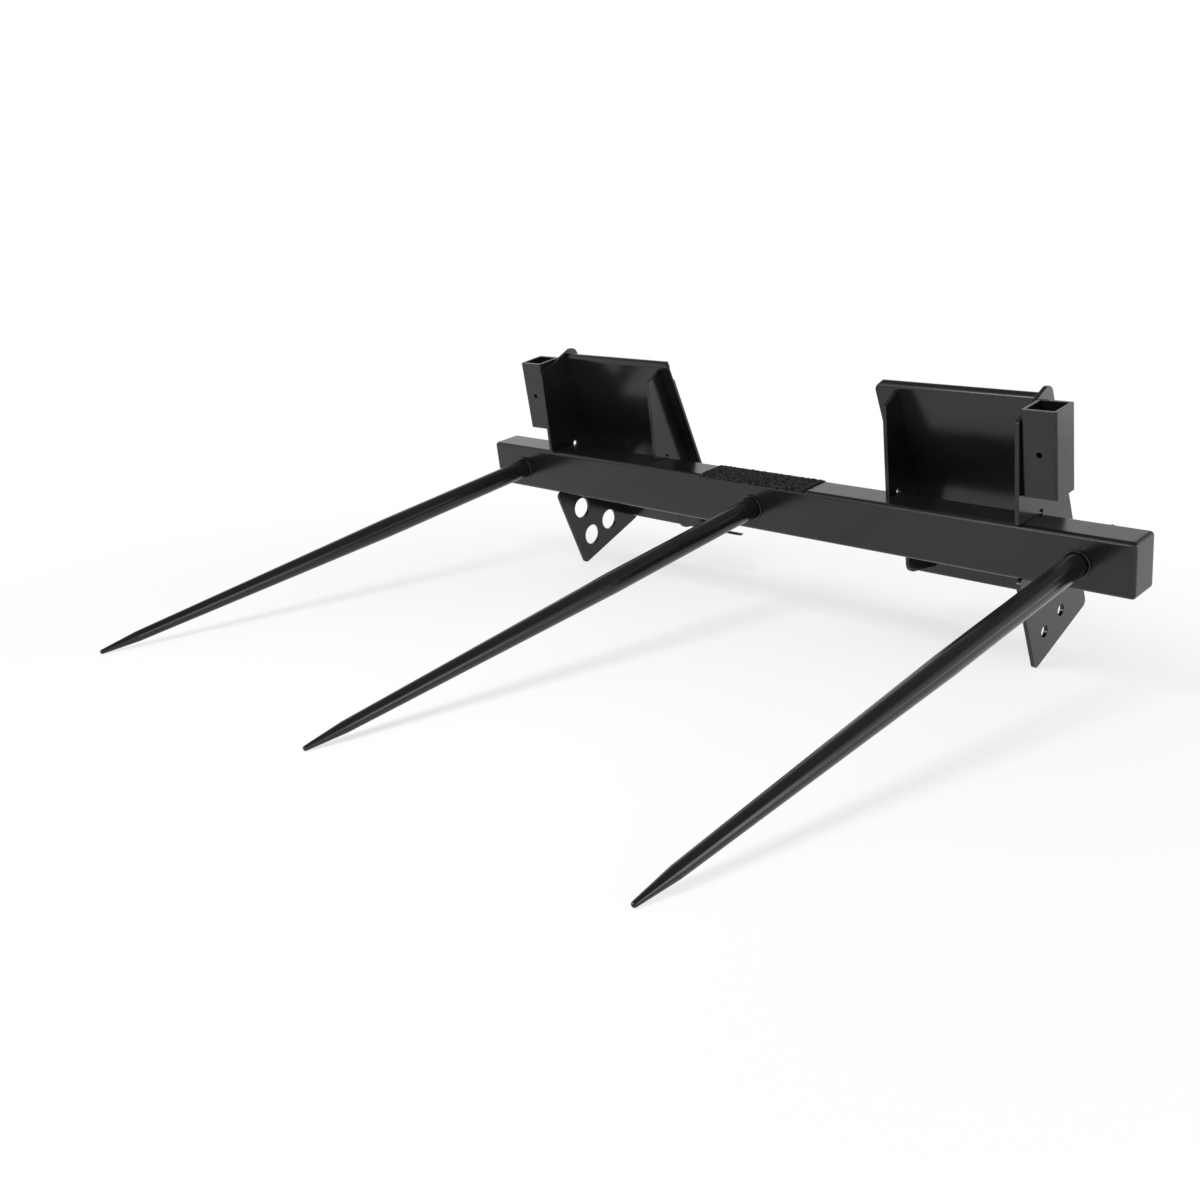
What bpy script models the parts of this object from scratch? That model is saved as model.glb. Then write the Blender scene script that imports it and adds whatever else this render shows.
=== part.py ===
"""Three-tine bale spear on a skid-steer quick-attach frame, resting on its spear tips and its two feet.

Every piece is placed in the tool's own frame: X to the right, Y from the spears towards the loader, Z up,
from the middle of the beam's front bottom edge. One empty then tips the tool forward until the spear tips
and the feet of the outer side plates stand on the ground. All sizes are in metres.
"""

import math

import bmesh
import bpy
import numpy as np
from mathutils import Matrix, Vector

# Clearance between pieces that touch
GAP = 0.0003

# Beam: a rectangular steel tube, closed by a plate at each end
BEAM_PAST_SPEAR = 0.100
BEAM_HEIGHT = 0.1016
BEAM_DEPTH = 0.073
BEAM_WALL = 0.00635
BEAM_CORNER = 0.008
CAP_THICKNESS = 0.009
CAP_EDGE = 0.007

# Spears: round bars that run through the middle of the beam and point slightly down
SPEAR_OUTBOARD = 0.103
SPEAR_DROOP = math.radians(2.36)
SPEAR_REACH = 1.104
SPEAR_RADIUS = 0.021
SPEAR_STRAIGHT = 0.417
POINT_LENGTH = 0.078
POINT_RADIUS = 0.0104
TIP_RADIUS = 0.0045
SHANK_END_RADIUS = 0.016
THREAD_RADIUS = 0.014
THREAD_PAST_NUT = 0.008

# Sleeves: tapered sockets, welded through the beam, that the spears are drawn into
SLEEVE_LIP = 0.0027
MOUTH_CLEARANCE = 0.002
MOUTH_DEPTH = 0.012
SLEEVE_FRONT = 0.005
SLEEVE_BACK = 0.037
SLEEVE_CHAMFER = 0.001

# Nuts that draw the spears in from behind
NUT_ACROSS_FLATS = 0.041
NUT_HEIGHT = 0.0225
NUT_CHAMFER = 0.0025

# Quick attach: the folded plates that the loader's coupler takes hold of
ATTACH_LEAN = math.radians(17.3)
ATTACH_RISE = 0.2083
FOOT_DROP = 0.1484
ATTACH_INSIDE = 1.170
ATTACH_WIDTH = 0.320
RIGHT_PLATE_EXTRA = 0.009
ATTACH_THICKNESS = 0.00635
ATTACH_DEPTH = 0.039
FOLD_RADIUS = 0.004
HOOK_ANGLE = math.radians(45)
LOWER_LIP_ANGLE = math.radians(49)
ATTACH_INNER_CORNER = 0.018
ATTACH_OUTER_CORNER = 0.008
STEP_LENGTH = 0.064
STEP_DROP = 0.007
STEP_CORNER = 0.003
LIP_OVERHANG = 0.028
LIP_END_CORNER = 0.012
LOCK_SLOT_WIDTH = 0.036
LOCK_SLOT_DEPTH = 0.020
LOCK_SLOT_CORNER = 0.004

# Outer side plates: they reach round the beam and end in the feet
OUTER_THICKNESS = 0.008
OUTER_OVERHANG = 0.005
OUTER_FRONT_RISE = 0.184
OUTER_PEAK = 0.008
OUTER_PEAK_CORNER = 0.019
OUTER_HEEL_CORNER = 0.012
OUTER_FOOT_CORNER = 0.010
PRONG_CORNER = 0.006
LOWER_PRONG_CORNER = 0.012
PLATE_CORNER = 0.003
RELIEF_RADIUS = 0.007
FOOT_HOLE_EDGE = 0.0515
FOOT_HOLE_ACROSS = 0.065
FOOT_HOLE_UP = 0.079
FOOT_HOLE_LEFT = 0.048
FOOT_HOLE_RIGHT = 0.023

# Inner side plates: gussets from the beam's top and back to the attach plates
INNER_THICKNESS = 0.008
INNER_INSET = 0.0343
INNER_FRONT = 0.040
INNER_FRONT_RISE = 0.175
INNER_TOP_DROP = 0.016
INNER_BOTTOM_RISE = 0.057
LOBE_SETBACK = 0.027
LOBE_DROP = 0.075
LOBE_CORNER = 0.022
LOBE_START = 0.015

# Sockets: square tubes on the outer side plates, square to the spears
SOCKET_WIDTH = 0.0635
SOCKET_WALL = 0.00635
SOCKET_CORNER = 0.004
SOCKET_LENGTH = 0.1545
SOCKET_LIFT = 0.052
SOCKET_FORWARD = 0.002
SOCKET_HOLE = 0.010

# Anti-slip strip on the middle of the beam
TREAD_LENGTH = 0.270
TREAD_THICKNESS = 0.0018
TREAD_WRAP = math.radians(62)

# Facets: the widest turn in an arc, and the sides of round pieces
ARC_STEP = math.radians(12)
SPEAR_SIDES = 48
SLEEVE_SIDES = 48
HOLE_SIDES = 32
NUT_SIDES = 6
TIP_STEPS = 5
CAP_STEPS = 5
TREAD_STEPS = 6

# Mesh limits: points that are merged, angles shaded flat, and the part of an edge that a corner may take
MERGE = 1e-6
SEAM_MERGE = 1e-5
SHARP_ANGLE = math.radians(30)
FLAT_ANGLE = math.radians(1)
CORNER_SHARE = 0.45
BEVEL_SHARE = 0.9
PITCH_ROUNDS = 8

# Places that several pieces share
OUTER_FACE = ATTACH_INSIDE / 2
SPEAR_SPACING = OUTER_FACE + OUTER_THICKNESS + SPEAR_OUTBOARD
BEAM_LENGTH = 2 * (SPEAR_SPACING + BEAM_PAST_SPEAR)
BEAM_MIDDLE = Vector((0.0, BEAM_DEPTH / 2, BEAM_HEIGHT / 2))
ATTACH_HEIGHT = (BEAM_HEIGHT + ATTACH_RISE + FOOT_DROP) / math.cos(ATTACH_LEAN)
LIP_LENGTH = ATTACH_DEPTH / math.tan(LOWER_LIP_ANGLE)
SLEEVE_RADIUS = SPEAR_RADIUS + MOUTH_CLEARANCE + SLEEVE_LIP
SLEEVE_TOP = BEAM_DEPTH / 2 + SLEEVE_FRONT
SLEEVE_END = -BEAM_DEPTH / 2 - SLEEVE_BACK
TAPER_START = SLEEVE_TOP - MOUTH_DEPTH
NUT_TOP = SLEEVE_END - GAP
ACROSS = (math.radians(90), 0.0, math.radians(90))
ALONG_SPEAR = (math.radians(90) + SPEAR_DROOP, 0.0, 0.0)
SIDES = {"left": -1, "right": 1}
SPEAR_PLACES = {"left": -SPEAR_SPACING, "centre": 0.0, "right": SPEAR_SPACING}


def lean(down, back):
    """The (Y, Z) of a point given down and behind the attach plate's front face, from its top edge."""
    y = BEAM_DEPTH + down * math.sin(ATTACH_LEAN) + back * math.cos(ATTACH_LEAN)
    z = BEAM_HEIGHT + ATTACH_RISE - down * math.cos(ATTACH_LEAN) + back * math.sin(ATTACH_LEAN)
    return y, z


def behind_attach(y, z):
    """How far a point lies behind the plane of the attach plate's front face."""
    top_y, top_z = lean(0.0, 0.0)
    return (y - top_y) * math.cos(ATTACH_LEAN) + (z - top_z) * math.sin(ATTACH_LEAN)


def clear_scene():
    for obj in list(bpy.data.objects):
        bpy.data.objects.remove(obj)


def new_collection(name):
    collection = bpy.data.collections.new(name)
    bpy.context.scene.collection.children.link(collection)
    return collection


def paint(name, colour, roughness):
    material = bpy.data.materials.new(name)
    material.use_nodes = True
    shader = material.node_tree.nodes["Principled BSDF"]
    shader.inputs["Base Color"].default_value = (*colour, 1.0)
    shader.inputs["Roughness"].default_value = roughness
    shader.inputs["Metallic"].default_value = 0.0
    material.diffuse_color = (*colour, 1.0)
    return material


def rounded(corners):
    """The points of a closed outline through corners of the form (u, v, radius)."""
    points = []
    for index, (u, v, radius) in enumerate(corners):
        corner = Vector((u, v))
        come = corner - Vector(corners[index - 1][:2])
        leave = Vector(corners[(index + 1) % len(corners)][:2]) - corner
        shorter = min(come.length, leave.length)
        come.normalize()
        leave.normalize()
        turn = math.atan2(come.x * leave.y - come.y * leave.x, come.dot(leave))
        if radius == 0 or abs(turn) < MERGE:
            points.append(corner)
            continue
        half = math.tan(abs(turn) / 2)
        fitted = min(radius, CORNER_SHARE * shorter / half)
        start = corner - come * fitted * half
        side = math.copysign(1.0, turn)
        centre = start + Vector((-come.y, come.x)) * side * fitted
        count = max(2, math.ceil(abs(turn) / ARC_STEP))
        for step in range(count + 1):
            spoke = Matrix.Rotation(turn * step / count, 2) @ (start - centre)
            points.append(centre + spoke)
    return points


def relief(u, v, start):
    """Corners of a round relief, three quarters of a circle about a notch's corner, from an angle on."""
    turn = math.radians(270)
    count = math.ceil(turn / ARC_STEP)
    angles = [start + turn * step / count for step in range(count + 1)]
    return [(u + RELIEF_RADIUS * math.cos(a), v + RELIEF_RADIUS * math.sin(a), 0.0) for a in angles]


def circle(u, v, diameter, sides):
    turns = [2 * math.pi * step / sides for step in range(sides)]
    return [Vector((u + diameter / 2 * math.cos(a), v + diameter / 2 * math.sin(a))) for a in turns]


def rectangle(width, height, radius, centre=(0.0, 0.0)):
    u, v = centre
    half_u, half_v = width / 2, height / 2
    signs = ((-1, -1), (1, -1), (1, 1), (-1, 1))
    return rounded([(u + a * half_u, v + b * half_v, radius) for a, b in signs])


def folded(path, thickness, radius):
    """The outline of a folded sheet: its outer face along the path, and its inner face to the left of it."""
    path = [Vector(point) for point in path]
    ways = [(b - a).normalized() for a, b in zip(path, path[1:])]
    lefts = [Vector((-way.y, way.x)) for way in ways]
    inner = [path[0] + lefts[0] * thickness]
    for index in range(1, len(path) - 1):
        middle = (lefts[index - 1] + lefts[index]).normalized()
        inner.append(path[index] + middle * thickness / middle.dot(lefts[index]))
    inner.append(path[-1] + lefts[-1] * thickness)
    corners = [(p.x, p.y, radius + thickness) for p in path]
    corners += [(p.x, p.y, radius) for p in reversed(inner)]
    ends = (0, len(path) - 1, len(path), 2 * len(path) - 1)
    return [(u, v, 0.0 if i in ends else r) for i, (u, v, r) in enumerate(corners)]


def baked(source, name, collection, smooth):
    """Replaces a curve, or an object with modifiers, by a plain mesh object of its evaluated shape."""
    bpy.context.view_layer.update()
    graph = bpy.context.evaluated_depsgraph_get()
    mesh = bpy.data.meshes.new_from_object(source.evaluated_get(graph))
    mesh.name = name
    welded = bmesh.new()
    welded.from_mesh(mesh)
    bmesh.ops.remove_doubles(welded, verts=welded.verts, dist=MERGE)
    bmesh.ops.recalc_face_normals(welded, faces=welded.faces)
    welded.to_mesh(mesh)
    welded.free()
    if smooth:
        mesh.shade_smooth()
        mesh.set_sharp_from_angle(angle=SHARP_ANGLE)
    place = source.matrix_world.copy()
    bpy.data.objects.remove(source)
    obj = bpy.data.objects.new(name, mesh)
    obj.matrix_world = place
    collection.objects.link(obj)
    return obj


def extruded(name, outlines, thickness, collection, location=(0, 0, 0), rotation=(0, 0, 0)):
    """A flat outline, with any outlines inside it as holes, extruded about its own plane."""
    curve = bpy.data.curves.new(name, "CURVE")
    curve.dimensions = "2D"
    curve.fill_mode = "BOTH"
    curve.extrude = thickness / 2
    for outline in outlines:
        spline = curve.splines.new("POLY")
        spline.points.add(len(outline) - 1)
        for point, place in zip(spline.points, outline):
            point.co = (place[0], place[1], 0.0, 1.0)
        spline.use_cyclic_u = True
    obj = bpy.data.objects.new(name, curve)
    obj.location = location
    obj.rotation_euler = rotation
    bpy.context.scene.collection.objects.link(obj)
    return baked(obj, name, collection, smooth=True)


def turned(name, profile, sides, collection, location, rotation, ring=False):
    """A profile of (radius, height), run down its outer side, turned round the local Z axis."""
    count = len(profile)
    edges = [(i, i + 1) for i in range(count - 1)]
    if ring:
        edges.append((count - 1, 0))
    mesh = bpy.data.meshes.new(name)
    mesh.from_pydata([(radius, 0.0, height) for radius, height in profile], edges, [])
    obj = bpy.data.objects.new(name, mesh)
    obj.location = location
    obj.rotation_euler = rotation
    bpy.context.scene.collection.objects.link(obj)
    screw = obj.modifiers.new("turn", "SCREW")
    screw.axis = "Z"
    screw.angle = 2 * math.pi
    screw.steps = sides
    screw.render_steps = sides
    screw.use_merge_vertices = True
    screw.merge_threshold = SEAM_MERGE
    return baked(obj, name, collection, smooth=True)


def prism(name, radius, length, sides, collection, location, rotation):
    mesh = bpy.data.meshes.new(name)
    shape = bmesh.new()
    bmesh.ops.create_cone(
        shape, cap_ends=True, segments=sides, radius1=radius, radius2=radius, depth=length
    )
    shape.to_mesh(mesh)
    shape.free()
    obj = bpy.data.objects.new(name, mesh)
    obj.location = location
    obj.rotation_euler = rotation
    collection.objects.link(obj)
    return obj


def as_cutter(obj):
    obj.hide_render = True
    obj.display_type = "WIRE"
    obj.parent = stand
    return obj


def combine(obj, other, operation):
    modifier = obj.modifiers.new(other.name, "BOOLEAN")
    modifier.operation = operation
    modifier.solver = "EXACT"
    modifier.object = other


def finish(obj, material):
    obj.data.materials.clear()
    obj.data.materials.append(material)
    obj.parent = stand
    return obj


def build_beam():
    tube_length = BEAM_LENGTH - 2 * (CAP_THICKNESS + GAP)
    middle = BEAM_MIDDLE.yz
    outer = rectangle(BEAM_DEPTH, BEAM_HEIGHT, BEAM_CORNER, middle)
    inside_depth = BEAM_DEPTH - 2 * BEAM_WALL
    inside_height = BEAM_HEIGHT - 2 * BEAM_WALL
    inside_corner = max(BEAM_CORNER - BEAM_WALL, BEAM_WALL / 8)
    inner = rectangle(inside_depth, inside_height, inside_corner, middle)
    beam = extruded("beam", [outer, inner], tube_length, parts, rotation=ACROSS)
    for side, x in SPEAR_PLACES.items():
        place = BEAM_MIDDLE + Vector((x, 0.0, 0.0))
        reach = 2 * BEAM_DEPTH
        bore = prism(
            f"sleeve_bore_{side}", SLEEVE_RADIUS + GAP, reach, SLEEVE_SIDES, cutters, place, ALONG_SPEAR
        )
        combine(beam, as_cutter(bore), "DIFFERENCE")
    finish(beam, frame_paint)


def build_end_cap(side, sign):
    """A plate in the section of the beam, with the rim of its outer face rounded."""
    x = sign * (BEAM_LENGTH - CAP_THICKNESS) / 2
    outline = rectangle(BEAM_DEPTH, BEAM_HEIGHT, BEAM_CORNER, BEAM_MIDDLE.yz)
    cap = extruded(f"end_cap_{side}", [outline], CAP_THICKNESS, parts, (x, 0, 0), ACROSS)
    shape = bmesh.new()
    shape.from_mesh(cap.data)
    bmesh.ops.dissolve_limit(
        shape, angle_limit=FLAT_ANGLE, verts=shape.verts, edges=shape.edges
    )
    outside = sign * CAP_THICKNESS / 2
    rim = [edge for edge in shape.edges if all(abs(v.co.z - outside) < MERGE for v in edge.verts)]
    edge_radius = min(CAP_EDGE, BEVEL_SHARE * CAP_THICKNESS, BEVEL_SHARE * BEAM_CORNER)
    bmesh.ops.bevel(
        shape, geom=rim, offset=edge_radius, segments=CAP_STEPS, profile=0.5, affect="EDGES", clamp_overlap=True
    )
    shape.to_mesh(cap.data)
    shape.free()
    cap.data.shade_smooth()
    cap.data.set_sharp_from_angle(angle=SHARP_ANGLE)
    finish(cap, frame_paint)


def spear_profile():
    """From the rounded tip down the long taper, the straight bar and the tapered shank to the thread."""
    tip = BEAM_DEPTH / 2 + SPEAR_REACH
    profile = []
    for step in range(TIP_STEPS):
        angle = math.radians(90) * step / TIP_STEPS
        height = tip - TIP_RADIUS + TIP_RADIUS * math.cos(angle)
        profile.append((TIP_RADIUS * math.sin(angle), height))
    thread_end = NUT_TOP - NUT_HEIGHT - THREAD_PAST_NUT
    thread_chamfer = THREAD_RADIUS / 8
    profile += [
        (TIP_RADIUS, tip - TIP_RADIUS),
        (POINT_RADIUS, tip - POINT_LENGTH),
        (SPEAR_RADIUS, BEAM_DEPTH / 2 + SPEAR_STRAIGHT),
        (SPEAR_RADIUS, TAPER_START),
        (SHANK_END_RADIUS, SLEEVE_END + NUT_CHAMFER),
        (THREAD_RADIUS, SLEEVE_END + NUT_CHAMFER),
        (THREAD_RADIUS, thread_end + thread_chamfer),
        (THREAD_RADIUS - thread_chamfer, thread_end),
        (0.0, thread_end),
    ]
    return profile


def sleeve_profile():
    """A ring whose bore is wider at the mouth and then follows the spear's tapered shank."""
    outer = SLEEVE_RADIUS
    mouth = SPEAR_RADIUS + MOUTH_CLEARANCE
    return [
        (outer - SLEEVE_CHAMFER, SLEEVE_TOP),
        (outer, SLEEVE_TOP - SLEEVE_CHAMFER),
        (outer, SLEEVE_END + SLEEVE_CHAMFER),
        (outer - SLEEVE_CHAMFER, SLEEVE_END),
        (SHANK_END_RADIUS + GAP, SLEEVE_END),
        (SHANK_END_RADIUS + GAP, SLEEVE_END + NUT_CHAMFER),
        (SPEAR_RADIUS + GAP, TAPER_START),
        (mouth, TAPER_START),
        (mouth, SLEEVE_TOP),
    ]


def nut_blank_profile():
    """A disc as wide as the nut's corners, with both rims chamfered."""
    corner = NUT_ACROSS_FLATS / math.sqrt(3)
    bottom = NUT_TOP - NUT_HEIGHT
    return [
        (0.0, NUT_TOP),
        (corner - NUT_CHAMFER, NUT_TOP),
        (corner, NUT_TOP - NUT_CHAMFER / 2),
        (corner, bottom + NUT_CHAMFER / 2),
        (corner - NUT_CHAMFER, bottom),
        (0.0, bottom),
    ]


def build_spear(side, x):
    place = BEAM_MIDDLE + Vector((x, 0.0, 0.0))
    spear = turned(f"spear_{side}", spear_profile(), SPEAR_SIDES, parts, place, ALONG_SPEAR)
    finish(spear, spear_paint)
    sleeve = turned(
        f"spear_sleeve_{side}", sleeve_profile(), SLEEVE_SIDES, parts, place, ALONG_SPEAR, ring=True
    )
    finish(sleeve, frame_paint)

    way = Matrix.Rotation(ALONG_SPEAR[0], 3, "X") @ Vector((0.0, 0.0, 1.0))
    nut_place = place + way * (NUT_TOP - NUT_HEIGHT / 2)
    corner = NUT_ACROSS_FLATS / math.sqrt(3)
    nut = prism(f"spear_nut_{side}", corner, NUT_HEIGHT, NUT_SIDES, parts, nut_place, ALONG_SPEAR)
    blank = turned(
        f"nut_blank_{side}", nut_blank_profile(), SLEEVE_SIDES, cutters, place, ALONG_SPEAR
    )
    combine(nut, as_cutter(blank), "INTERSECT")
    bore = prism(
        f"nut_bore_{side}", THREAD_RADIUS + GAP, 2 * NUT_HEIGHT, HOLE_SIDES, cutters, nut_place, ALONG_SPEAR
    )
    combine(nut, as_cutter(bore), "DIFFERENCE")
    finish(nut, nut_steel)


def attach_path():
    """The outer face of the folded attach plate, as (down, back) corners from hook to lower lip."""
    outer_radius = FOLD_RADIUS + ATTACH_THICKNESS
    hook_turn = math.pi - HOOK_ANGLE
    top = -outer_radius * (math.tan(hook_turn / 2) - 1)
    hook_end = top + ATTACH_DEPTH / math.tan(HOOK_ANGLE)
    return [
        (hook_end, ATTACH_DEPTH),
        (top, 0.0),
        (ATTACH_HEIGHT - LIP_LENGTH, 0.0),
        (ATTACH_HEIGHT, ATTACH_DEPTH),
    ]


def attach_front_outline(sign, width):
    """The attach plate seen square from the front, as corners (x, up the plate from its top edge).

    On both plates the lower lip is longer at its left end, for the length of the step. On the left plate
    its other end reaches in past the plate's inner edge.
    """
    half = width / 2
    high = STEP_DROP - ATTACH_HEIGHT
    if sign > 0:
        step_end = STEP_LENGTH + RIGHT_PLATE_EXTRA - half
        return [
            (-half, -ATTACH_HEIGHT, ATTACH_INNER_CORNER),
            (step_end, -ATTACH_HEIGHT, STEP_CORNER),
            (step_end, high, STEP_CORNER),
            (half, high, 0.0),
            (half, 0.0, ATTACH_OUTER_CORNER),
            (-half, 0.0, ATTACH_INNER_CORNER),
        ]
    step_end = STEP_LENGTH - half
    low = -ATTACH_HEIGHT - ATTACH_THICKNESS
    lip_top = LIP_LENGTH - ATTACH_HEIGHT - ATTACH_THICKNESS
    return [
        (-half, low, 0.0),
        (step_end, low, STEP_CORNER),
        (step_end, high, STEP_CORNER),
        (half + LIP_OVERHANG, high, LIP_END_CORNER),
        (half + LIP_OVERHANG, lip_top, LIP_END_CORNER),
        (half, lip_top, STEP_CORNER),
        (half, 0.0, ATTACH_INNER_CORNER),
        (-half, 0.0, ATTACH_OUTER_CORNER),
    ]


def build_attach_plate(side, sign):
    """A folded sheet, trimmed to its front outline. Its hook is mitred at the inner end.

    A slot in the lower lip takes the coupler's lock pin.
    """
    width = ATTACH_WIDTH - GAP
    if sign > 0:
        width += RIGHT_PLATE_EXTRA
    x = sign * (OUTER_FACE - GAP - width / 2)
    slot_x = sign * (OUTER_FACE - ATTACH_WIDTH / 2)
    sheet_width = width + 4 * LIP_OVERHANG
    section = rounded(folded([lean(*point) for point in attach_path()], ATTACH_THICKNESS, FOLD_RADIUS))
    plate = extruded(f"attach_plate_{side}", [section], sheet_width, parts, (x, 0, 0), ACROSS)

    inner_x = -sign * width / 2
    past = -sign * ATTACH_DEPTH
    kept = ATTACH_THICKNESS / 2
    mitre = [
        (inner_x + 2 * past, kept - 2 * ATTACH_DEPTH),
        (inner_x + 2 * past, kept + 2 * ATTACH_DEPTH),
        (inner_x - 2 * past, kept + 2 * ATTACH_DEPTH),
    ]
    y, z = lean(0.0, 0.0)
    upright = (ATTACH_LEAN, 0.0, 0.0)
    hook_end = extruded(
        f"hook_end_{side}", [mitre], 2 * ATTACH_DEPTH, cutters, (x, y, z), upright
    )
    combine(plate, as_cutter(hook_end), "DIFFERENCE")

    tilt = (math.radians(90) + ATTACH_LEAN, 0.0, 0.0)
    front = rounded(attach_front_outline(sign, width))
    trim = extruded(f"attach_trim_{side}", [front], 4 * ATTACH_DEPTH, cutters, (x, y, z), tilt)
    combine(plate, as_cutter(trim), "INTERSECT")

    y, z = lean(ATTACH_HEIGHT - LIP_LENGTH / 2, ATTACH_DEPTH / 2)
    slot_tilt = (math.radians(90) + ATTACH_LEAN + LOWER_LIP_ANGLE, 0.0, 0.0)
    outline = rectangle(LOCK_SLOT_WIDTH, LOCK_SLOT_DEPTH, LOCK_SLOT_CORNER)
    slot = extruded(
        f"lock_slot_{side}", [outline], 4 * ATTACH_THICKNESS, cutters, (slot_x, y, z), slot_tilt
    )
    combine(plate, as_cutter(slot), "DIFFERENCE")
    finish(plate, frame_paint)


def build_outer_plate(side, sign, hole_diameter):
    front = -OUTER_OVERHANG
    front_back = behind_attach(front, -GAP)
    back = BEAM_DEPTH + GAP
    corners = [
        (front, BEAM_HEIGHT + GAP, PRONG_CORNER),
        (front, BEAM_HEIGHT + OUTER_FRONT_RISE, PLATE_CORNER),
        (*lean(-OUTER_PEAK, ATTACH_DEPTH), OUTER_PEAK_CORNER),
        (*lean(ATTACH_HEIGHT, ATTACH_DEPTH), OUTER_HEEL_CORNER),
        (*lean(ATTACH_HEIGHT, front_back), OUTER_FOOT_CORNER),
        (front, -GAP, LOWER_PRONG_CORNER),
        *relief(back, -GAP, math.radians(180)),
        *relief(back, BEAM_HEIGHT + GAP, math.radians(-90)),
    ]
    low = ATTACH_HEIGHT - FOOT_HOLE_EDGE
    near = front_back + FOOT_HOLE_EDGE
    centres = [(low, near), (low, near + FOOT_HOLE_ACROSS), (low - FOOT_HOLE_UP, near)]
    holes = [circle(*lean(*centre), hole_diameter, HOLE_SIDES) for centre in centres]
    x = sign * (OUTER_FACE + OUTER_THICKNESS / 2)
    outlines = [rounded(corners), *holes]
    plate = extruded(f"outer_side_plate_{side}", outlines, OUTER_THICKNESS, parts, (x, 0, 0), ACROSS)
    finish(plate, frame_paint)


def build_inner_plate(side, sign):
    back = BEAM_DEPTH + GAP
    lobe = BEAM_DEPTH + LOBE_SETBACK
    corners = [
        (INNER_FRONT, BEAM_HEIGHT + GAP, 0.0),
        (INNER_FRONT, BEAM_HEIGHT + INNER_FRONT_RISE, PLATE_CORNER),
        (*lean(INNER_TOP_DROP, -GAP), 0.0),
        (*lean(ATTACH_HEIGHT - INNER_BOTTOM_RISE, -GAP), 0.0),
        (lobe, -LOBE_DROP, LOBE_CORNER),
        (lobe, 0.0, PLATE_CORNER),
        (back, LOBE_START, PLATE_CORNER),
        *relief(back, BEAM_HEIGHT + GAP, math.radians(-90)),
    ]
    x = sign * (OUTER_FACE - ATTACH_WIDTH + INNER_INSET)
    plate = extruded(
        f"inner_side_plate_{side}", [rounded(corners)], INNER_THICKNESS, parts, (x, 0, 0), ACROSS
    )
    finish(plate, frame_paint)


def build_socket(side, sign):
    """A square tube, open at both ends, with a pin hole through its front and back walls."""
    x = sign * (OUTER_FACE + OUTER_THICKNESS + GAP + SOCKET_WIDTH / 2)
    z = BEAM_HEIGHT + SOCKET_LIFT + SOCKET_LENGTH / 2
    place = (x, BEAM_DEPTH / 2 - SOCKET_FORWARD, z)
    inside = SOCKET_WIDTH - 2 * SOCKET_WALL
    outer = rectangle(SOCKET_WIDTH, SOCKET_WIDTH, SOCKET_CORNER)
    inner = rectangle(inside, inside, SOCKET_CORNER / 2)
    tilt = (SPEAR_DROOP, 0.0, 0.0)
    socket = extruded(f"socket_{side}", [outer, inner], SOCKET_LENGTH, parts, place, tilt)
    hole = prism(
        f"pin_hole_{side}", SOCKET_HOLE / 2, 2 * SOCKET_WIDTH, HOLE_SIDES, cutters, place, ALONG_SPEAR
    )
    combine(socket, as_cutter(hole), "DIFFERENCE")
    finish(socket, frame_paint)


def build_tread():
    """A thin strip that lies on the beam's top and follows its two rounded edges a little way down."""
    inner_radius = BEAM_CORNER + GAP
    outer_radius = inner_radius + TREAD_THICKNESS
    top = BEAM_HEIGHT - BEAM_CORNER
    angles = [TREAD_WRAP * step / TREAD_STEPS for step in range(TREAD_STEPS + 1)]
    front, back = BEAM_CORNER, BEAM_DEPTH - BEAM_CORNER

    def arc(radius):
        front_arc = [(front - radius * math.sin(a), top + radius * math.cos(a)) for a in reversed(angles)]
        back_arc = [(back + radius * math.sin(a), top + radius * math.cos(a)) for a in angles]
        return front_arc + back_arc

    outline = arc(outer_radius) + arc(inner_radius)[::-1]
    tread = extruded("tread_strip", [outline], TREAD_LENGTH, parts, rotation=ACROSS)
    finish(tread, tread_grit)


def tool_points(prefixes):
    """The evaluated points, in the tool's frame, of the parts whose names start with one of the prefixes."""
    bpy.context.view_layer.update()
    graph = bpy.context.evaluated_depsgraph_get()
    to_tool = stand.matrix_world.inverted()
    found = []
    for obj in parts.objects:
        if obj.type != "MESH" or not obj.name.startswith(prefixes):
            continue
        evaluated = obj.evaluated_get(graph)
        mesh = evaluated.to_mesh()
        points = np.empty(3 * len(mesh.vertices), np.float32)
        mesh.vertices.foreach_get("co", points)
        evaluated.to_mesh_clear()
        place = np.array(to_tool @ obj.matrix_world)
        found.append(points.reshape(-1, 3) @ place[:3, :3].T + place[:3, 3])
    return np.concatenate(found)


def stand_on_ground():
    """Tips the tool until spear tips and feet are level, then puts the ground at Z = 0 under its middle."""
    spears = tool_points(("spear_",))
    feet = tool_points(("outer_side_plate_",))
    everything = tool_points(tuple(obj.name for obj in parts.objects))
    pitch = 0.0
    for _ in range(PITCH_ROUNDS):
        down = np.array((0.0, math.sin(pitch), math.cos(pitch)))
        tip = spears[np.argmin(spears @ down)]
        foot = feet[np.argmin(feet @ down)]
        pitch = math.atan2(foot[2] - tip[2], tip[1] - foot[1]) % math.pi
    turned_points = everything @ np.array(Matrix.Rotation(pitch, 3, "X")).T
    low = turned_points.min(axis=0)
    high = turned_points.max(axis=0)
    stand.rotation_euler = (pitch, 0.0, 0.0)
    stand.location = (-(low[0] + high[0]) / 2, -(low[1] + high[1]) / 2, -low[2])
    bpy.context.view_layer.update()


clear_scene()
parts = new_collection("bale_spear")
cutters = new_collection("cutters")
frame_paint = paint("frame_paint", (0.0085, 0.0090, 0.0090), 0.18)
spear_paint = paint("spear_paint", (0.0078, 0.0088, 0.0104), 0.22)
nut_steel = paint("nut_steel", (0.020, 0.020, 0.021), 0.42)
tread_grit = paint("tread_grit", (0.012, 0.012, 0.012), 0.85)

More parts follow.
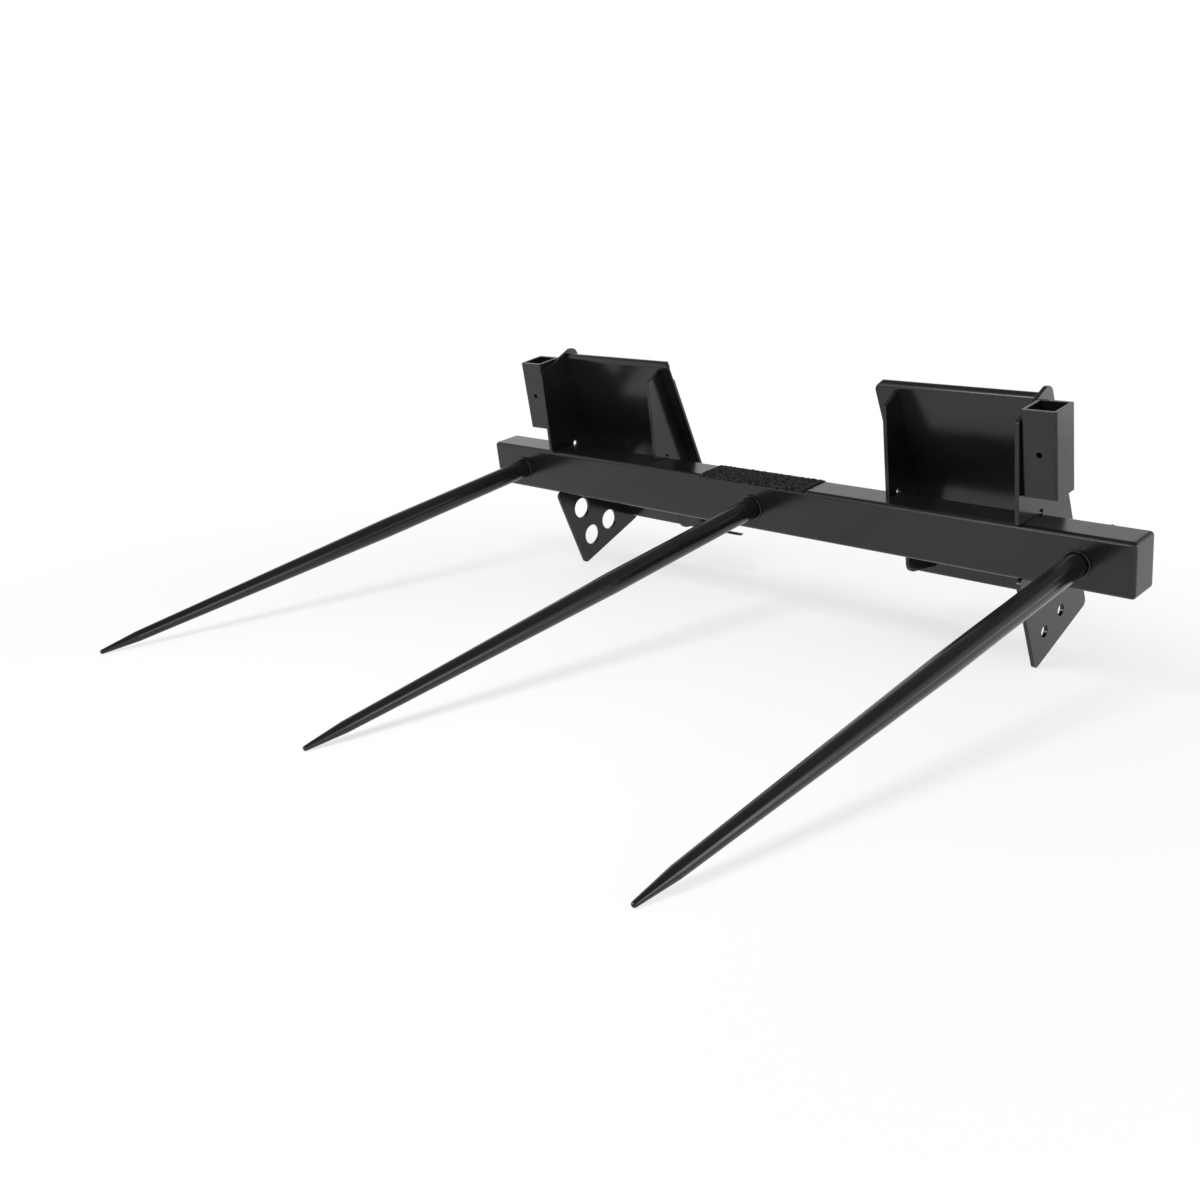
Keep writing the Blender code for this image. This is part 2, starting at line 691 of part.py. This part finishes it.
stand = bpy.data.objects.new("stand", None)
parts.objects.link(stand)

build_beam()
build_tread()
for side, x in SPEAR_PLACES.items():
    build_spear(side, x)
for side, sign in SIDES.items():
    build_end_cap(side, sign)
    build_attach_plate(side, sign)
    build_outer_plate(side, sign, FOOT_HOLE_RIGHT if sign > 0 else FOOT_HOLE_LEFT)
    build_inner_plate(side, sign)
    build_socket(side, sign)
stand_on_ground()
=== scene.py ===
"""The looks of the bale spear: black powder coat, a coarse grit strip, cut threads and softened
plate edges, in a white studio seen from the photograph's side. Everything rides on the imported
frame. Sizes are in metres.
"""

import contextlib
import math

import bmesh
import bpy
from mathutils import Matrix, Vector, noise


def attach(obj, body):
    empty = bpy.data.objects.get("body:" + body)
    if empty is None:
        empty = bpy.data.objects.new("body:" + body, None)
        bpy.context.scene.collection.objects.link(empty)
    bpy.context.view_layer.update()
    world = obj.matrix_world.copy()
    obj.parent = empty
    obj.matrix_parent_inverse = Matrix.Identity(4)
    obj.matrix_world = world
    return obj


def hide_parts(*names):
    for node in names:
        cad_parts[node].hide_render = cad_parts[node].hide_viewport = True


BODY = "root"

# Camera, with its lens and sensor in millimetres
CAMERA_PLACE = Vector((1.65218, -1.68767, 0.74930))
CAMERA_LOOK = Vector((-0.6835, 0.68165, -0.26114))
CAMERA_UP = Vector((-0.1853, 0.18401, 0.96529))
LENS = 39.42
SENSOR = 36.0

# Floor: near the tool this share of what the camera sees is the floor's own shade, and the rest is
# white. Between these distances from the middle of the tool it fades into the background.
FLOOR_RADIUS = 40.0
FLOOR_SIDES = 64
FLOOR_COLOUR = (0.85, 0.85, 0.85)
FLOOR_ROUGHNESS = 0.8
SHADOW_DEPTH = 0.34
FADE_START = 0.5
FADE_END = 1.7

# Light: the strength of the world for diffuse light. As a background it is white, with a dark patch
# of ceiling: the patch's direction, the angles from it between which it fades into the white, and
# its strength.
WORLD_LIGHT = 0.50
CEILING_WAY = Vector((0.05, 0.0, 1.0)).normalized()
DARK_TO = math.radians(45)
WHITE_FROM = math.radians(64)
CEILING = 0.20

# Lamps: place, width, height and power of each. The key and side lamps light the tool. The side,
# front and wall lamps show in the paint's gloss, and the last two do nothing else.
AIM = Vector((0.0, 0.25, 0.25))
LAMPS = {
    "key": (Vector((0.0, -1.3, 2.3)), 1.0, 1.0, 50.0),
    "side": (Vector((3.4, 0.9, 0.9)), 1.3, 1.3, 20.0),
    "front": (Vector((-0.65, -2.45, 0.85)), 1.1, 0.7, 26.0),
    "wall": (Vector((3.0, 3.2, 0.50)), 4.5, 0.9, 12.0),
}
GLOSSY_LAMPS = ("side", "front", "wall")
DIFFUSE_LAMPS = ("key", "side")

# The middle range of a noise, where most of its values lie
NOISE_LOW = 0.3
NOISE_HIGH = 0.7

# Plate edges: the rounding and its steps, the angle from which an edge is rounded, the angle up to
# which neighbouring faces are joined, and the distance up to which points are welded
EDGE_ROUND = 0.0007
EDGE_STEPS = 2
SHARP_ANGLE = math.radians(30)
FLAT_ANGLE = math.radians(1)
MERGE = 1e-6

# Grit strip: the size of a grain, the finest mesh step and how far the grains stand up
GRAIN = 0.0042
GRAIN_STEP = 0.0013
GRAIN_HEIGHT = 0.0022
FINE_GRAIN = 0.0024
FINE_HEIGHT = 0.0011

# Thread on the spears' back ends: a ridge that stands THREAD_CREST above the bar, with its foot
# half as deep inside it. At both ends it grows from the least share of its height in a quarter of
# a turn.
THREAD_PITCH = 0.003
THREAD_CREST = 0.0009
THREAD_SIDES = 48
RIDGE_HEIGHT = THREAD_CREST * 1.5
HALF_RIDGE = THREAD_PITCH * 0.42
FADES_PER_TURN = 4
LEAST_SHARE = 0.05

PLATES = ("attach_plate", "outer_side_plate", "inner_side_plate", "socket")
SPEARS = ("left", "centre", "right")
SIDES = ("left", "right")


def added(name, data):
    """A new object in the scene."""
    thing = bpy.data.objects.new(name, data)
    bpy.context.scene.collection.objects.link(thing)
    return thing


@contextlib.contextmanager
def edited(mesh):
    """A mesh as a bmesh that is written back at the end."""
    shape = bmesh.new()
    shape.from_mesh(mesh)
    yield shape
    shape.to_mesh(mesh)
    shape.free()


def new_material(name, colour, roughness):
    material = bpy.data.materials.new(name)
    material.use_nodes = True
    shader = material.node_tree.nodes["Principled BSDF"]
    shader.inputs["Base Color"].default_value = (*colour, 1.0)
    shader.inputs["Roughness"].default_value = roughness
    material.diffuse_color = (*colour, 1.0)
    return material, material.node_tree, shader


def noise_at(tree, size, detail, stretch=(1.0, 1.0, 1.0)):
    """A noise texture whose lumps are about this many metres across."""
    place = tree.nodes.new("ShaderNodeTexCoord")
    scale = tree.nodes.new("ShaderNodeMapping")
    scale.inputs["Scale"].default_value = stretch
    texture = tree.nodes.new("ShaderNodeTexNoise")
    texture.inputs["Scale"].default_value = 1 / size
    texture.inputs["Detail"].default_value = detail
    tree.links.new(place.outputs["Object"], scale.inputs["Vector"])
    tree.links.new(scale.outputs["Vector"], texture.inputs["Vector"])
    return texture.outputs["Fac"]


def map_range(tree, value, start, end, low, high, smooth=False):
    """Maps the range from start to end to the range from low to high."""
    mapped = tree.nodes.new("ShaderNodeMapRange")
    if smooth:
        mapped.interpolation_type = "SMOOTHSTEP"
    mapped.inputs["From Min"].default_value = start
    mapped.inputs["From Max"].default_value = end
    mapped.inputs["To Min"].default_value = low
    mapped.inputs["To Max"].default_value = high
    tree.links.new(value, mapped.inputs["Value"])
    return mapped.outputs["Result"]


def spread(tree, value, low, high):
    """Maps the middle range of a noise to the range from low to high."""
    return map_range(tree, value, NOISE_LOW, NOISE_HIGH, low, high)


def combined(tree, operation, first, second):
    """The result of a maths node with two linked values."""
    maths = tree.nodes.new("ShaderNodeMath")
    maths.operation = operation
    tree.links.new(first, maths.inputs[0])
    tree.links.new(second, maths.inputs[1])
    return maths.outputs["Value"]


def tint(tree, shader, value, dark, light):
    """Varies the colour with a noise."""
    ramp = tree.nodes.new("ShaderNodeValToRGB")
    stops = ramp.color_ramp.elements
    for stop, place, colour in zip(stops, (NOISE_LOW, NOISE_HIGH), (dark, light)):
        stop.position = place
        stop.color = (*colour, 1.0)
    tree.links.new(value, ramp.inputs["Fac"])
    tree.links.new(ramp.outputs["Color"], shader.inputs["Base Color"])


def vary_gloss(tree, shader, value, low, high):
    """Varies the roughness with a noise."""
    tree.links.new(spread(tree, value, low, high), shader.inputs["Roughness"])


def raise_surface(tree, shader, value, height, strength):
    """Bumps the surface with a noise."""
    bump = tree.nodes.new("ShaderNodeBump")
    bump.inputs["Distance"].default_value = height
    bump.inputs["Strength"].default_value = strength
    tree.links.new(value, bump.inputs["Height"])
    tree.links.new(bump.outputs["Normal"], shader.inputs["Normal"])


def powder_coat():
    """Semi-gloss black powder coat: fine orange peel, slightly uneven gloss and depth of colour."""
    material, tree, shader = new_material("powder_coat", (0.0085, 0.0090, 0.0090), 0.30)
    shader.inputs["IOR"].default_value = 1.46
    depth = noise_at(tree, size=0.090, detail=2)
    tint(tree, shader, depth, dark=(0.0064, 0.0069, 0.0069), light=(0.0080, 0.0085, 0.0085))
    vary_gloss(tree, shader, noise_at(tree, size=0.035, detail=3), low=0.17, high=0.22)
    peel = noise_at(tree, size=0.0022, detail=2)
    raise_surface(tree, shader, peel, height=0.00003, strength=0.25)
    return material


def spear_coat():
    """Bluish black paint on drawn bar, with faint streaks along the spear."""
    material, tree, shader = new_material("spear_coat", (0.0075, 0.0085, 0.0100), 0.26)
    shader.inputs["IOR"].default_value = 1.42
    along = (1.0, 0.06, 0.35)
    streaks = noise_at(tree, size=0.006, detail=2, stretch=along)
    tint(tree, shader, streaks, dark=(0.0065, 0.0075, 0.0090), light=(0.0090, 0.0100, 0.0118))
    wide_streaks = noise_at(tree, size=0.010, detail=3, stretch=along)
    vary_gloss(tree, shader, wide_streaks, low=0.15, high=0.21)
    peel = noise_at(tree, size=0.0018, detail=2)
    raise_surface(tree, shader, peel, height=0.00005, strength=0.40)
    return material


def nut_coat():
    """Black coated steel, duller and a little greyer than the frame."""
    material, tree, shader = new_material("nut_coat", (0.020, 0.020, 0.021), 0.42)
    patches = noise_at(tree, size=0.008, detail=3)
    tint(tree, shader, patches, dark=(0.015, 0.015, 0.016), light=(0.027, 0.027, 0.028))
    vary_gloss(tree, shader, noise_at(tree, size=0.004, detail=3), low=0.36, high=0.50)
    grain = noise_at(tree, size=0.0010, detail=2)
    raise_surface(tree, shader, grain, height=0.00004, strength=0.40)
    return material


def grit_coat():
    """Coarse black grit in black binder."""
    material, tree, shader = new_material("grit_coat", (0.014, 0.014, 0.014), 0.75)
    shader.inputs["Specular IOR Level"].default_value = 0.18
    grains = spread(tree, noise_at(tree, size=0.0045, detail=2), low=0.0, high=1.0)
    tint(tree, shader, grains, dark=(0.001, 0.001, 0.001), light=(0.027, 0.027, 0.026))
    vary_gloss(tree, shader, noise_at(tree, size=0.0022, detail=2), low=0.55, high=0.95)
    sand = noise_at(tree, size=0.0009, detail=3)
    raise_surface(tree, shader, sand, height=0.0002, strength=0.6)
    return material


def copied(node_name, name):
    """A new object with a welded copy of a CAD node's mesh."""
    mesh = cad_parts[node_name].data.copy()
    mesh.name = name
    with edited(mesh) as shape:
        bmesh.ops.remove_doubles(shape, verts=shape.verts, dist=MERGE)
    return added(name, mesh)


def applied(piece):
    """Replaces a piece's mesh by its evaluated shape, so that no modifier is left on it."""
    bpy.context.view_layer.update()
    graph = bpy.context.evaluated_depsgraph_get()
    mesh = bpy.data.meshes.new_from_object(piece.evaluated_get(graph))
    mesh.name = piece.name
    piece.modifiers.clear()
    piece.data = mesh


def stand_in(piece, node_name, material):
    """Lets a finished piece stand for a CAD node."""
    piece.data.materials.clear()
    piece.data.materials.append(material)
    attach(piece, BODY)
    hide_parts(node_name)


def softened(node_name, material):
    """A CAD node's own shape, with its cut edges slightly rounded."""
    piece = copied(node_name, f"{node_name}_softened")
    with edited(piece.data) as shape:
        bmesh.ops.dissolve_limit(
            shape, angle_limit=FLAT_ANGLE, verts=shape.verts, edges=shape.edges
        )
    piece.data.shade_smooth()
    bevel = piece.modifiers.new("edges", "BEVEL")
    bevel.width = EDGE_ROUND
    bevel.segments = EDGE_STEPS
    bevel.limit_method = "ANGLE"
    bevel.angle_limit = SHARP_ANGLE
    bevel.use_clamp_overlap = False
    normals = piece.modifiers.new("normals", "WEIGHTED_NORMAL")
    normals.keep_sharp = True
    applied(piece)
    stand_in(piece, node_name, material)


def grit_strip(material):
    """The strip's own solid, finely meshed, with grains of two sizes standing out of it."""
    piece = copied("tread_strip", "grit_strip")
    remesh = piece.modifiers.new("mesh", "REMESH")
    remesh.mode = "VOXEL"
    remesh.voxel_size = GRAIN_STEP
    applied(piece)
    with edited(piece.data) as shape:
        for vert in shape.verts:
            coarse = noise.noise(vert.co / GRAIN)
            fine = noise.noise(vert.co / FINE_GRAIN)
            vert.co += vert.normal * (GRAIN_HEIGHT * max(coarse, 0.0) + FINE_HEIGHT * fine)
    stand_in(piece, "tread_strip", material)


def node_points(node_name):
    return [vert.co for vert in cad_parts[node_name].data.vertices]


def middle_of(points):
    return sum(points, Vector()) / len(points)


def thread_frame(side):
    """The middle of a spear's nut, the direction along the spear, where the nut's back and the
    spear's back end lie in that direction, and the thread's radius, all from the CAD nodes.
    """
    points = node_points(f"spear_{side}")
    nut = node_points(f"spear_nut_{side}")
    middle = middle_of(nut)
    ahead = middle_of(node_points(f"spear_sleeve_{side}")) - middle
    way = Vector((0.0, ahead.y, ahead.z)).normalized()

    def along(point):
        return (point - middle).dot(way)

    nut_back = min(along(point) for point in nut)
    end = min(along(point) for point in points)
    rim = [point for point in points if along(point) < nut_back]
    radius = max((point - middle - way * along(point)).length for point in rim)
    return middle, way, nut_back, end, radius


def thread(side, material):
    """A helical ridge on the end of the spear that stands out behind its nut."""
    middle, way, start, end, radius = thread_frame(side)
    turns = (start - end) / THREAD_PITCH - 1
    count = round(turns * THREAD_SIDES)
    across = Vector((1.0, 0.0, 0.0))
    up = way.cross(across)
    foot = radius - THREAD_CREST / 2
    mesh = bpy.data.meshes.new(f"spear_thread_{side}")
    with edited(mesh) as shape:
        rings = []
        for step in range(count + 1):
            angle = 2 * math.pi * step / THREAD_SIDES
            out = across * math.cos(angle) + up * math.sin(angle)
            height = start - THREAD_PITCH / 2 - THREAD_PITCH * step / THREAD_SIDES
            fade = min(1.0, min(step, count - step) / THREAD_SIDES * FADES_PER_TURN)
            crest = foot + RIDGE_HEIGHT * max(fade, LEAST_SHARE)
            low = middle + way * (height - HALF_RIDGE) + out * foot
            high = middle + way * (height + HALF_RIDGE) + out * foot
            top = middle + way * height + out * crest
            rings.append([shape.verts.new(point) for point in (low, top, high)])
        for a, b in zip(rings, rings[1:]):
            for i in range(3):
                j = (i + 1) % 3
                shape.faces.new((a[i], a[j], b[j], b[i]))
        shape.faces.new(rings[0])
        shape.faces.new(rings[-1][::-1])
        bmesh.ops.recalc_face_normals(shape, faces=shape.faces)
    mesh.materials.append(material)
    piece = added(mesh.name, mesh)
    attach(piece, BODY)


def dress(node_name, material):
    """Gives a CAD node that stays a new material."""
    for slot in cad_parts[node_name].material_slots:
        slot.material = material


def add_camera():
    data = bpy.data.cameras.new("camera")
    data.lens = LENS
    data.sensor_width = SENSOR
    data.sensor_fit = "HORIZONTAL"
    look = CAMERA_LOOK.normalized()
    right = look.cross(CAMERA_UP).normalized()
    up = right.cross(look)
    turn = Matrix((right, up, -look)).transposed()
    camera = added("camera", data)
    camera.matrix_world = Matrix.Translation(CAMERA_PLACE) @ turn.to_4x4()
    bpy.context.scene.camera = camera


def seen_directly(tree):
    """1 for rays from the camera, in a mirror or through glass, and 0 for diffuse light."""
    path = tree.nodes.new("ShaderNodeLightPath")
    seen = path.outputs["Is Camera Ray"]
    for name in ("Is Glossy Ray", "Is Transmission Ray"):
        seen = combined(tree, "MAXIMUM", seen, path.outputs[name])
    return seen


def add_world():
    """White where it is seen, but for the dark patch of ceiling, and weaker as diffuse light."""
    world = bpy.data.worlds.new("studio")
    world.use_nodes = True
    tree = world.node_tree
    background = tree.nodes["Background"]
    background.inputs["Color"].default_value = (1.0, 1.0, 1.0, 1.0)
    place = tree.nodes.new("ShaderNodeTexCoord")
    along = tree.nodes.new("ShaderNodeVectorMath")
    along.operation = "DOT_PRODUCT"
    along.inputs[1].default_value = CEILING_WAY
    tree.links.new(place.outputs["Generated"], along.inputs[0])
    ceiling = map_range(
        tree,
        along.outputs["Value"],
        start=math.cos(WHITE_FROM),
        end=math.cos(DARK_TO),
        low=1.0,
        high=CEILING,
        smooth=True,
    )
    strength = tree.nodes.new("ShaderNodeMapRange")
    strength.inputs["To Min"].default_value = WORLD_LIGHT
    tree.links.new(ceiling, strength.inputs["To Max"])
    tree.links.new(seen_directly(tree), strength.inputs["Value"])
    tree.links.new(strength.outputs["Result"], background.inputs["Strength"])
    bpy.context.scene.world = world


def add_floor():
    """A white floor that shows a faint shadow near the tool and fades into the white background."""
    mesh = bpy.data.meshes.new("floor")
    with edited(mesh) as shape:
        bmesh.ops.create_circle(shape, cap_ends=True, segments=FLOOR_SIDES, radius=FLOOR_RADIUS)
    material, tree, shader = new_material("studio_floor", FLOOR_COLOUR, FLOOR_ROUGHNESS)
    white = tree.nodes.new("ShaderNodeEmission")
    white.inputs["Strength"].default_value = 1.0
    place = tree.nodes.new("ShaderNodeTexCoord")
    distance = tree.nodes.new("ShaderNodeVectorMath")
    distance.operation = "LENGTH"
    tree.links.new(place.outputs["Object"], distance.inputs[0])
    fade = map_range(
        tree,
        distance.outputs["Value"],
        start=FADE_START,
        end=FADE_END,
        low=1 - SHADOW_DEPTH,
        high=1.0,
        smooth=True,
    )
    mix = tree.nodes.new("ShaderNodeMixShader")
    tree.links.new(combined(tree, "MULTIPLY", fade, seen_directly(tree)), mix.inputs["Fac"])
    tree.links.new(shader.outputs["BSDF"], mix.inputs[1])
    tree.links.new(white.outputs["Emission"], mix.inputs[2])
    tree.links.new(mix.outputs["Shader"], tree.nodes["Material Output"].inputs["Surface"])
    mesh.materials.append(material)
    added("floor", mesh)


def add_lamps():
    for name, (place, width, height, power) in LAMPS.items():
        data = bpy.data.lights.new(name, "AREA")
        data.shape = "RECTANGLE"
        data.size = width
        data.size_y = height
        data.energy = power
        lamp = added(name, data)
        lamp.visible_glossy = name in GLOSSY_LAMPS
        lamp.visible_diffuse = name in DIFFUSE_LAMPS
        lamp.visible_camera = False
        lamp.location = place
        lamp.rotation_euler = (AIM - place).to_track_quat("-Z", "Y").to_euler()


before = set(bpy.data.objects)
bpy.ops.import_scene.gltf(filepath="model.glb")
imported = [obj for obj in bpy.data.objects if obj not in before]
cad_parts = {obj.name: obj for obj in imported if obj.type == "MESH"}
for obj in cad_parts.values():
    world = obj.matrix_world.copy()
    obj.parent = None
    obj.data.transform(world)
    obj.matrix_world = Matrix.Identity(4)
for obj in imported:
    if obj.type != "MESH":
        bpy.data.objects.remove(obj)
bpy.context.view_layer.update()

black = powder_coat()
spear_black = spear_coat()
nut_black = nut_coat()
grit = grit_coat()

add_camera()
add_world()
add_floor()
add_lamps()

dress("beam", black)
for side in SIDES:
    dress(f"end_cap_{side}", black)
    for plate in PLATES:
        softened(f"{plate}_{side}", black)
for side in SPEARS:
    dress(f"spear_{side}", spear_black)
    dress(f"spear_sleeve_{side}", black)
    softened(f"spear_nut_{side}", nut_black)
    thread(side, spear_black)
grit_strip(grit)

bpy.context.scene.view_settings.view_transform = "Standard"
